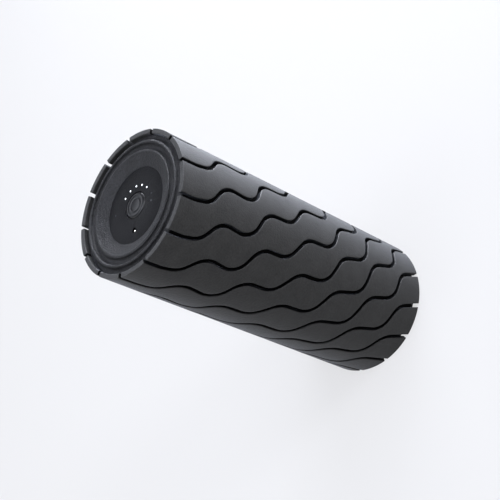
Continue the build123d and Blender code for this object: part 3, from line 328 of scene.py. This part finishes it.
def build_foam_sleeve():
    """The whole sleeve as one closed grid: treads, groove walls and floors, stepped ends and bore."""
    line = groove_line()
    rows = sleeve_rows(line)
    heading = np.gradient(line, axis=0)
    heading /= np.linalg.norm(heading, axis=1)[:, None]
    side = np.stack([-heading[:, 1], heading[:, 0]], axis=1)

    def angle_at(offset):
        """Angle round the roller of the curve at a sideways distance from the centreline."""
        moved = line + side * offset
        return GROOVE_PHASE + np.interp(rows, moved[:, 0], moved[:, 1]) / FOAM_R

    half = GROOVE_WIDTH / 2
    lip_offsets = [half + LIP_R * (1 - math.cos(turn)) for turn in EDGE_TURNS]
    lip_radii = [FOAM_R - LIP_R + LIP_R * math.sin(turn) for turn in EDGE_TURNS]
    from_end = np.minimum(rows, LENGTH - rows)
    rim = FOAM_R - rounded(SLEEVE_EDGE_R, from_end)
    mouth = STEP_R + rounded(STEP_LIP_R, from_end)
    deep = from_end > STEP_DEPTH - 0.01

    def squeezed(radius):
        """A tread radius at every row, kept between the rounded mouth and the rounded rim."""
        if radius < STEP_R:
            return np.full(len(rows), radius)
        share = (radius - STEP_R) / (FOAM_R - STEP_R)
        return mouth + share * (rim - mouth)

    columns = []
    treads = []
    for number in range(GROOVES):
        turn = number * PITCH
        first = len(columns)
        for radius in WALL_RADII:
            columns.append((turn + angle_at(half), radius))
        for offset, radius in zip(lip_offsets, lip_radii):
            columns.append((turn + angle_at(offset), radius))
        left = turn + angle_at(lip_offsets[-1])
        right = turn + PITCH + angle_at(-lip_offsets[-1])
        for cell in range(1, TREAD_CELLS):
            columns.append((left + (right - left) * cell / TREAD_CELLS, FOAM_R))
        for offset, radius in zip(reversed(lip_offsets), reversed(lip_radii)):
            columns.append((turn + PITCH + angle_at(-offset), radius))
        for radius in reversed(WALL_RADII):
            columns.append((turn + PITCH + angle_at(-half), radius))
        treads.append((first, len(columns) - 1))
        columns.append((turn + PITCH + angle_at(0.0), GROOVE_FLOOR_R))

    points = []

    def new_point(radius, angle, row):
        points.append((radius * math.cos(angle), radius * math.sin(angle), LENGTH - rows[row]))
        return len(points) - 1

    index = np.full((len(columns), len(rows)), -1)
    for c, (angles, radius) in enumerate(columns):
        radii = squeezed(radius)
        for row in range(len(rows)):
            if deep[row] or radius >= STEP_R:
                index[c, row] = new_point(radii[row], angles[row], row)

    faces = []
    for c in range(len(columns)):
        after = (c + 1) % len(columns)
        for row in range(len(rows) - 1):
            corners = (index[c, row], index[c, row + 1], index[after, row + 1], index[after, row])
            if min(corners) >= 0:
                faces.append(corners)

    def fill(lines):
        """Faces between neighbouring lines of points."""
        for low, high in zip(lines, lines[1:]):
            for p in range(len(low) - 1):
                faces.append((low[p], high[p], high[p + 1], low[p + 1]))

    walls = len(WALL_RADII)
    deep_rows = np.flatnonzero(deep)
    rings = []
    plain = set()
    for end_rows in (range(deep_rows[0] + 1), range(len(rows) - 1, deep_rows[-1] - 1, -1)):
        floor_ring = []
        for first, last in treads:
            inside = range(first + walls, last - walls + 1)

            def across(level, radius, row):
                """Points across one tread at a radius, from wall to wall."""
                made = [new_point(radius, columns[c][0][row], row) for c in inside]
                return [index[first + level, row], *made, index[last - level, row]]

            inner_wall = [across(1, mouth[row], row) for row in end_rows]
            face = [inner_wall[0]]
            for level in range(2, walls - 1):
                radius = squeezed(WALL_RADII[level])[end_rows[0]]
                face.append(across(level, radius, end_rows[0]))
            outermost = range(first + walls - 1, last - walls + 2)
            face.append([index[c, end_rows[0]] for c in outermost])
            step = across(0, GROOVE_FLOOR_R, end_rows[-1])
            plain_from = len(faces)
            fill(inner_wall)
            fill(face)
            fill([inner_wall[-1], step])
            plain.update(range(plain_from, len(faces)))
            floor_ring += step
            floor_ring.append(index[last + 1, end_rows[-1]])
        rings.append((floor_ring, end_rows[-1]))

    bores = []
    for ring, row in rings:
        angles = [math.atan2(points[p][1], points[p][0]) for p in ring]
        bores.append([new_point(SLEEVE_IN_R, angle, row) for angle in angles])
    count = len(bores[0])
    shift = round(math.radians(GROOVE_CORNERS[-1][1]) / PITCH) * (count // GROOVES)
    for n in range(count):
        after = (n + 1) % count
        for (ring, _), bore in zip(rings, bores):
            faces.append((bore[n], ring[n], ring[after], bore[after]))
        foot = bores[1]
        faces.append((bores[0][n], bores[0][after], foot[after - shift], foot[n - shift]))
    piece = make_object("foam_sleeve_treads", points, [tuple(int(i) for i in f) for f in faces])
    outward(piece)
    return piece, plain


foam, foam_end_faces = build_foam_sleeve()
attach(foam, "roller")
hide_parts("foam_sleeve")


# ---------------------------------------------------------------- end caps
def cap_profile(control):
    """Closed half section of an end cap: flange, two ribs, dish, floor and skirt."""
    flange = CONTROL_FLANGE_DEPTH if control else FOOT_FLANGE_DEPTH
    fall = flange - RIB_FOOT_DEPTH
    cove_start = (RIB_FOOT_R + fall, flange)
    cove_middle = (RIB_FOOT_R + COVE_IN * fall, RIB_FOOT_DEPTH + COVE_DOWN * fall)
    section = [(FLANGE_R, flange + FLANGE_EDGE), (FLANGE_R - FLANGE_EDGE, flange), cove_start]
    section += arc(cove_start, cove_middle, (RIB_FOOT_R, RIB_FOOT_DEPTH), 10)[1:]
    section += arc(*OUTER_RIB, 10)[1:]
    section += arc(*RIB_CHANNEL, 16)[1:]
    section += arc(*INNER_RIB, 8)[1:]
    section += DISH
    section += [
        (PANEL_SEAT_R, FLOOR_DEPTH),
        (0.0, FLOOR_DEPTH),
        (0.0, FLOOR_BACK),
        (DISH_BACK_R, FLOOR_BACK),
        (RIB_BACK_R, RIB_BACK_DEPTH),
        (SKIRT_IN_R, RIB_BACK_DEPTH),
        (SKIRT_IN_R, SKIRT_DEPTH),
        (SKIRT_R, SKIRT_DEPTH),
        (SKIRT_R, STEP_DEPTH),
        (FLANGE_R, STEP_DEPTH),
    ]
    return [(r, up(depth) if control else depth) for r, depth in section]


def plug(radius, centre, top, bottom, flare=0.0, segments=SMALL_ROUND):
    """A round cutter between two heights, widened at its top so that the hole's edge is eased."""
    profile = [(0.0, bottom), (radius, bottom), (radius, top - flare)]
    if flare:
        turn = (radius + 0.3 * flare, top - 0.3 * flare)
        profile += arc((radius, top - flare), turn, (radius + flare, top), 5)[1:]
        profile += [(radius + flare, top + HOLE_OVERRUN), (0.0, top + HOLE_OVERRUN)]
    else:
        profile += [(radius, top), (0.0, top)]
    return lathe("cutter", profile, centre, segments)


control_cap = lathe("control_end_cap_dish", cap_profile(True))
well_top = up(FLOOR_DEPTH - WELL_OVERRUN)
stem_top = up(BUTTON_WELL_DEPTH - WELL_OVERRUN)
cap_back = up(FLOOR_BACK + HOLE_OVERRUN)
cutters = [
    plug(BUTTON_WELL_R, (0, 0), well_top, up(BUTTON_WELL_DEPTH)),
    plug(BUTTON_STEM_R + BUTTON_STEM_GAP, (0, 0), stem_top, cap_back),
    plug(JACK_R, (0, JACK_Y), well_top, cap_back),
]
for places, radius in pipe_sets:
    for place in places:
        cutters.append(plug(radius + PIPE_GAP, place, well_top, cap_back, segments=PIPE_WELL_ROUND))
cut(control_cap, cutters)
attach(control_cap, "roller")
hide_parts("control_end_cap")

foot_cap = lathe("foot_end_cap_dish", cap_profile(False))
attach(foot_cap, "roller")
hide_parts("foot_end_cap")


# ---------------------------------------------------------------- panels
def panel_profile(control):
    """Closed half section of a panel disc with an eased outer edge."""
    start = (PANEL_R - PANEL_EDGE_R, PANEL_DEPTH)
    turn = (PANEL_R - 0.3 * PANEL_EDGE_R, PANEL_DEPTH + 0.3 * PANEL_EDGE_R)
    edge = arc(start, turn, (PANEL_R, PANEL_DEPTH + PANEL_EDGE_R), 4)
    section = [(0.0, PANEL_DEPTH)] + edge + [(PANEL_R, FLOOR_DEPTH), (0.0, FLOOR_DEPTH)]
    return [(r, up(depth) if control else depth) for r, depth in section]


panel = lathe("control_panel_disc", panel_profile(True))
panel_top = up(PANEL_DEPTH)
panel_back = up(FLOOR_DEPTH + HOLE_OVERRUN)
cutters = [
    plug(BUTTON_HOLE_R, (0, 0), panel_top, panel_back, BUTTON_HOLE_EDGE_R, BUTTON_HOLE_ROUND),
    plug(JACK_BORE_R, (0, JACK_Y), panel_top, panel_back, JACK_EDGE_R),
]
for places, radius in pipe_sets:
    for place in places:
        hole_r = radius + PIPE_GAP
        cutters.append(plug(hole_r, place, panel_top, panel_back, PIPE_HOLE_EDGE_R, PIPE_HOLE_ROUND))
cut(panel, cutters)
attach(panel, "roller")
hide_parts("control_panel")

foot_disc = lathe("foot_panel_disc", panel_profile(False))
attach(foot_disc, "roller")
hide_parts("foot_panel")


# ---------------------------------------------------------------- power button
def button_profile():
    """Closed half section of the button: dimple, raised ring, rounded rim, flange and stem."""
    section = arc(*BUTTON_BOWL, 8)
    section += arc(*BUTTON_RING, 8)[1:]
    section += arc(*BUTTON_TROUGH, 8)[1:]
    section += arc(*BUTTON_RIM, 14)[1:]
    section += [
        (BUTTON_R, BUTTON_FLANGE_TOP),
        (BUTTON_FLANGE_R, BUTTON_FLANGE_TOP),
        (BUTTON_FLANGE_R, BUTTON_FLANGE_TOP + BUTTON_FLANGE_THICK),
        (BUTTON_STEM_R, BUTTON_FLANGE_TOP + BUTTON_FLANGE_THICK),
        (BUTTON_STEM_R, BUTTON_STEM_DEPTH),
        (0.0, BUTTON_STEM_DEPTH),
    ]
    return [(r, up(depth)) for r, depth in section]


button = lathe("power_button_cap", button_profile())
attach(button, "button")
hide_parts("power_button")


# ---------------------------------------------------------------- lights
def light_pipe(place, radius):
    """One clear rod with a domed end just proud of the panel."""
    top = up(PANEL_DEPTH)
    shoulder = (radius * DOME_SHOULDER[0], top + DOME_SHOULDER[1])
    dome = arc((0.0, top + DOME_HEIGHT), shoulder, (radius, top - DOME_FOOT), 6)
    profile = dome + [(radius, up(PIPE_FOOT_DEPTH)), (0.0, up(PIPE_FOOT_DEPTH))]
    return lathe("pipe", profile, place, PIPE_ROUND)


level_lights = join("level_light_lenses", [light_pipe(p, LIGHT_R) for p in light_places])
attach(level_lights, "roller")
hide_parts("level_light_pipes")

status_lights = join("status_light_lenses", [light_pipe(p, STATUS_R) for p in STATUS_PLACES])
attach(status_lights, "roller")
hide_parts("status_light_pipes")


# ---------------------------------------------------------------- materials
GRAIN_DEPTH = 0.25
NOISE_DETAIL = 3.0
NOISE_ROUGHNESS = 0.6
MOTTLE_MM = 12.0
MOTTLE_DETAIL = 2.0
MOTTLE_SHARE = 0.3
TONE_START = 0.3
TONE_END = 0.7
ROUGHNESS_SPREAD = 0.06
# Painted shade: the foam's colour and shine are taken down from the open radius to the dark one, for
# the shade deep in the grooves, but not on its ends, from END_FADE_END below an end face outwards.
GROOVE_DARK_R = 62.2
GROOVE_OPEN_R = FOAM_R - 0.05
GROOVE_PAINTED_SHADE = 0.1
END_FADE_START = 1.0
END_FADE_END = 0.1


def shader_of(material):
    """A material's main shader."""
    return material.node_tree.nodes["Principled BSDF"]


def grained(
    name, colour, vary, roughness, grain_mm, bump, depth=GRAIN_DEPTH, shine=0.5, **sockets
):
    """A moulded or foamed surface: fine grain in its bump and colour, and a slow mottle.

    colour is the mean base colour, and vary how far the grain takes it up and down. grain_mm is the
    grain's size, and depth its height as a share of that. shine is the specular level, and other
    Principled sockets are given by name.
    """
    material = bpy.data.materials.new(name)
    material.use_nodes = True
    nodes = material.node_tree.nodes
    link = material.node_tree.links.new
    shader = shader_of(material)
    place = nodes.new("ShaderNodeTexCoord")

    fine = nodes.new("ShaderNodeTexNoise")
    fine.inputs["Scale"].default_value = 1.0 / (grain_mm * MM)
    fine.inputs["Detail"].default_value = NOISE_DETAIL
    fine.inputs["Roughness"].default_value = NOISE_ROUGHNESS
    link(place.outputs["Object"], fine.inputs["Vector"])
    slow = nodes.new("ShaderNodeTexNoise")
    slow.inputs["Scale"].default_value = 1.0 / (MOTTLE_MM * MM)
    slow.inputs["Detail"].default_value = MOTTLE_DETAIL
    link(place.outputs["Object"], slow.inputs["Vector"])

    blend = nodes.new("ShaderNodeMix")
    blend.inputs["Factor"].default_value = MOTTLE_SHARE
    link(fine.outputs["Fac"], blend.inputs["A"])
    link(slow.outputs["Fac"], blend.inputs["B"])
    ramp = nodes.new("ShaderNodeValToRGB")
    ramp.color_ramp.elements[0].position = TONE_START
    ramp.color_ramp.elements[1].position = TONE_END
    ramp.color_ramp.elements[0].color = (*[c * (1 - vary) for c in colour], 1.0)
    ramp.color_ramp.elements[1].color = (*[c * (1 + vary) for c in colour], 1.0)
    link(blend.outputs["Result"], ramp.inputs["Fac"])
    link(ramp.outputs["Color"], shader.inputs["Base Color"])

    rough = nodes.new("ShaderNodeMapRange")
    rough.inputs["To Min"].default_value = roughness - ROUGHNESS_SPREAD
    rough.inputs["To Max"].default_value = roughness + ROUGHNESS_SPREAD
    link(fine.outputs["Fac"], rough.inputs["Value"])
    link(rough.outputs["Result"], shader.inputs["Roughness"])

    relief = nodes.new("ShaderNodeBump")
    relief.inputs["Strength"].default_value = bump
    relief.inputs["Distance"].default_value = grain_mm * MM * depth
    link(fine.outputs["Fac"], relief.inputs["Height"])
    link(relief.outputs["Normal"], shader.inputs["Normal"])
    shader.inputs["Specular IOR Level"].default_value = shine
    for socket, value in sockets.items():
        shader.inputs[socket].default_value = value
    return material


def math_node(nodes, link, operation, first, second):
    """The result of one sum on a node's output and a number or another output."""
    node = nodes.new("ShaderNodeMath")
    node.operation = operation
    link(first, node.inputs[0])
    if isinstance(second, float):
        node.inputs[1].default_value = second
    else:
        link(second, node.inputs[1])
    return node.outputs["Value"]


def ramp_node(nodes, link, source, start, end, low=0.0):
    """A straight rise from low at start to 1 at end."""
    node = nodes.new("ShaderNodeMapRange")
    node.inputs["From Min"].default_value = start
    node.inputs["From Max"].default_value = end
    node.inputs["To Min"].default_value = low
    link(source, node.inputs["Value"])
    return node.outputs["Result"]


def paint_groove_shade(material):
    """Paint shade into the grooves: take the foam's colour and shine down towards the groove floors,
    but not on the end faces.
    """
    nodes = material.node_tree.nodes
    link = material.node_tree.links.new
    shader = shader_of(material)
    place = nodes.new("ShaderNodeTexCoord").outputs["Object"]
    flat = nodes.new("ShaderNodeVectorMath")
    flat.operation = "MULTIPLY"
    flat.inputs[1].default_value = (1.0, 1.0, 0.0)
    link(place, flat.inputs[0])
    radius = nodes.new("ShaderNodeVectorMath")
    radius.operation = "LENGTH"
    link(flat.outputs["Vector"], radius.inputs[0])
    split = nodes.new("ShaderNodeSeparateXYZ")
    link(place, split.inputs["Vector"])
    height = split.outputs["Z"]
    open_air = ramp_node(
        nodes, link, radius.outputs["Value"], GROOVE_DARK_R * MM, GROOVE_OPEN_R * MM, GROOVE_PAINTED_SHADE
    )
    top = ramp_node(nodes, link, height, up(END_FADE_START) * MM, up(END_FADE_END) * MM)
    foot = ramp_node(nodes, link, height, END_FADE_START * MM, END_FADE_END * MM)
    ends = math_node(nodes, link, "MAXIMUM", top, foot)
    share = math_node(nodes, link, "MAXIMUM", open_air, ends)
    tint = nodes.new("ShaderNodeVectorMath")
    tint.operation = "SCALE"
    link(shader.inputs["Base Color"].links[0].from_socket, tint.inputs[0])
    link(share, tint.inputs["Scale"])
    link(tint.outputs["Vector"], shader.inputs["Base Color"])
    shine = shader.inputs["Specular IOR Level"]
    link(math_node(nodes, link, "MULTIPLY", share, shine.default_value), shine)


def give(piece, material):
    """Put one material on a piece."""
    piece.data.materials.clear()
    piece.data.materials.append(material)


foam_sheen = {"Sheen Weight": 0.12, "Sheen Roughness": 0.3, "Sheen Tint": (0.8, 0.87, 1.0, 1.0)}
foam_look = grained("foam_skin", (0.0125, 0.0122, 0.0118), 0.6, 0.58, 1.5, 0.8, shine=0.3, **foam_sheen)
foam_end_look = foam_look.copy()
foam_end_look.name = "foam_end_skin"
shader_of(foam_end_look).inputs["Specular IOR Level"].default_value = 0.22
# Painted shade deep in the grooves of the foam's sides.
paint_groove_shade(foam_look)
# Each: name, colour, how far the grain takes it, roughness, grain size, bump, grain depth, shine.
HARD_LOOKS = [
    ("cap_texture", (0.0058, 0.0058, 0.0064), 0.95, 0.55, 1.4, 1.0, 0.6, 0.15),
    ("panel_skin", (0.0016, 0.0016, 0.002), 0.6, 0.45, 1.1, 0.9, GRAIN_DEPTH, 0.065),
    ("button_skin", (0.0018, 0.0018, 0.0022), 0.1, 0.34, 0.25, 0.1, GRAIN_DEPTH, 0.16),
    ("status_light_lens", (0.03, 0.03, 0.035), 0.1, 0.4, 0.3, 0.05, GRAIN_DEPTH, 0.2),
]
hard_looks = {look[0]: grained(*look) for look in HARD_LOOKS}
give(foam, foam_look)
foam.data.materials.append(foam_end_look)
for number in foam_end_faces:
    foam.data.polygons[number].material_index = 1
for piece, look in (
    (control_cap, "cap_texture"),
    (foot_cap, "cap_texture"),
    (panel, "panel_skin"),
    (foot_disc, "panel_skin"),
    (button, "button_skin"),
    (status_lights, "status_light_lens"),
):
    give(piece, hard_looks[look])

lit = bpy.data.materials.new("level_light_glow")
lit.use_nodes = True
shader_of(lit).inputs["Base Color"].default_value = (0.9, 0.95, 1.0, 1.0)
shader_of(lit).inputs["Emission Color"].default_value = (0.92, 0.96, 1.0, 1.0)
shader_of(lit).inputs["Emission Strength"].default_value = 1.4
shader_of(lit).inputs["Roughness"].default_value = 0.3
give(level_lights, lit)

INSIDE_VARY = 0.12
# Every carried-over CAD node takes the look of its slot: colour, roughness, metalness, grain, bump.
slot_looks = {
    "tube_plastic": ((0.05, 0.05, 0.052), 0.5, 0.0, 0.8, 0.3),
    "black_plastic": ((0.02, 0.02, 0.021), 0.45, 0.0, 0.5, 0.2),
    "white_plastic": ((0.7, 0.7, 0.66), 0.45, 0.0, 0.5, 0.2),
    "nickel_plate": ((0.75, 0.73, 0.68), 0.22, 1.0, 0.4, 0.1),
    "circuit_board": ((0.015, 0.12, 0.045), 0.35, 0.0, 1.5, 0.2),
    "ceramic_chip": ((0.03, 0.03, 0.032), 0.5, 0.0, 0.3, 0.2),
    "steel": ((0.56, 0.56, 0.58), 0.3, 1.0, 0.6, 0.2),
    "iron": ((0.2, 0.2, 0.21), 0.5, 1.0, 0.9, 0.4),
    "magnet": ((0.07, 0.07, 0.075), 0.55, 0.3, 0.9, 0.4),
    "sintered_bronze": ((0.42, 0.27, 0.12), 0.5, 1.0, 0.4, 0.5),
    "brass": ((0.72, 0.52, 0.2), 0.3, 1.0, 0.5, 0.15),
    "copper": ((0.8, 0.42, 0.25), 0.28, 1.0, 0.5, 0.15),
    "copper_wire": ((0.5, 0.18, 0.06), 0.32, 0.8, 0.7, 0.6),
    "carbon": ((0.02, 0.02, 0.02), 0.5, 0.0, 0.3, 0.3),
    "cell_wrap": ((0.03, 0.12, 0.3), 0.3, 0.0, 3.0, 0.1),
    "wire_cover": ((0.35, 0.02, 0.015), 0.45, 0.0, 1.0, 0.1),
    "seal_rubber": ((0.02, 0.02, 0.02), 0.6, 0.0, 0.5, 0.3),
}
slot_materials = {
    slot: grained(f"{slot}_look", colour, INSIDE_VARY, rough, grain, bump, Metallic=metal)
    for slot, (colour, rough, metal, grain, bump) in slot_looks.items()
}
for part in frame["record"]["subparts"]:
    node = frame["nodes"][part["node"]]
    if not node.hide_render:
        give(node, slot_materials[part["material_slot"]])

# ---------------------------------------------------------------- stage, light and camera
# The floor's reach is in metres. Much of its pale tone is its own light, and the rest is lit.
FLOOR_REACH = 40.0
FLOOR_TONE = 0.085
FLOOR_GLOW = 0.66
signs = ((-1, -1), (1, -1), (1, 1), (-1, 1))
floor_corners = [(x * FLOOR_REACH, y * FLOOR_REACH, 0.0) for x, y in signs]
floor_mesh = bpy.data.meshes.new("floor")
floor_mesh.from_pydata(floor_corners, [], [(0, 1, 2, 3)])
floor = bpy.data.objects.new("floor", floor_mesh)
bpy.context.scene.collection.objects.link(floor)
floor_look = bpy.data.materials.new("pale_floor")
floor_look.use_nodes = True
shader_of(floor_look).inputs["Base Color"].default_value = (FLOOR_TONE, FLOOR_TONE, FLOOR_TONE, 1.0)
shader_of(floor_look).inputs["Roughness"].default_value = 1.0
shader_of(floor_look).inputs["Specular IOR Level"].default_value = 0.0
shader_of(floor_look).inputs["Emission Color"].default_value = (0.98, 0.98, 1.0, 1.0)
shader_of(floor_look).inputs["Emission Strength"].default_value = FLOOR_GLOW
give(floor, floor_look)

# The studio's walls are pale near the horizon and fall away to dark higher up. The fade's ends are
# sines of the elevation.
WALL_STRENGTH = 0.75
WALL_FADE_START = 0.2
WALL_FADE_END = 0.5
world = bpy.data.worlds.new("studio")
world.use_nodes = True
world.node_tree.nodes["Background"].inputs["Color"].default_value = (0.93, 0.95, 1.0, 1.0)
world_nodes = world.node_tree.nodes
world_link = world.node_tree.links.new
direction = world_nodes.new("ShaderNodeSeparateXYZ")
world_link(world_nodes.new("ShaderNodeTexCoord").outputs["Generated"], direction.inputs["Vector"])
wall_light = ramp_node(world_nodes, world_link, direction.outputs["Z"], WALL_FADE_END, WALL_FADE_START)
world_link(
    math_node(world_nodes, world_link, "MULTIPLY", wall_light, WALL_STRENGTH),
    world_nodes["Background"].inputs["Strength"],
)
bpy.context.scene.world = world


def softbox(name, place, target, side, power, colour):
    """A square soft light at a place, facing a target."""
    data = bpy.data.lights.new(name, "AREA")
    data.shape = "SQUARE"
    data.size = side
    data.energy = power
    data.color = colour
    lamp = bpy.data.objects.new(name, data)
    lamp.location = place
    lamp.rotation_euler = (Vector(target) - Vector(place)).to_track_quat("-Z", "Y").to_euler()
    bpy.context.scene.collection.objects.link(lamp)


# Each light: name, azimuth and elevation in degrees, side in metres, power in watts, colour.
LIGHT_DISTANCE = 1.5
LIGHT_BOXES = [
    ("rear_low_box", 90, 3, 0.9, 125.0, (0.88, 0.91, 1.0)),
    ("right_low_box", 66, 3, 0.9, 62.0, (0.82, 0.87, 1.0)),
    ("overhead_box", 0, 88, 0.9, 29.0, (0.84, 0.88, 1.0)),
    ("right_high_box", 0, 60, 0.9, 12.8, (0.92, 0.94, 1.0)),
    ("front_high_box", -120, 60, 0.9, 11.6, (0.88, 0.91, 1.0)),
    ("left_box", -150, 32, 0.9, 8.8, (0.95, 0.96, 1.0)),
    ("left_rear_box", 150, 32, 0.9, 5.6, (0.86, 0.9, 1.0)),
    ("rear_high_box", 60, 60, 0.9, 3.4, (0.86, 0.9, 1.0)),
    ("button_strip", 22, 38, 0.35, 18.0, (0.9, 0.93, 1.0)),
]
middle = Vector((0.0, 0.0, LENGTH * MM / 2))
for name, azimuth, elevation, box_side, power, colour in LIGHT_BOXES:
    across = math.cos(math.radians(elevation))
    towards = Vector(
        (
            math.cos(math.radians(azimuth)) * across,
            math.sin(math.radians(azimuth)) * across,
            math.sin(math.radians(elevation)),
        )
    )
    softbox(name, middle + towards * LIGHT_DISTANCE, middle, box_side, power, colour)

# The camera, in metres, with its own right and up directions, and millimetres of lens and sensor.
CAMERA_LENS = 79.77
CAMERA_SENSOR = 36.0
CAMERA_PLACE = Vector((0.609263, -0.429084, 0.4787 + LENGTH * MM))
CAMERA_RIGHT = Vector((0.707126, -0.006791, -0.707055))
CAMERA_UP = Vector((0.321697, 0.893558, 0.313148))
camera_data = bpy.data.cameras.new("camera")
camera_data.sensor_width = CAMERA_SENSOR
camera_data.lens = CAMERA_LENS
camera = bpy.data.objects.new("camera", camera_data)
back = CAMERA_RIGHT.cross(CAMERA_UP)
camera.matrix_world = Matrix((CAMERA_RIGHT, CAMERA_UP, back)).transposed().to_4x4()
camera.location = CAMERA_PLACE
bpy.context.scene.collection.objects.link(camera)
bpy.context.scene.camera = camera
bpy.context.scene.view_settings.view_transform = "Standard"
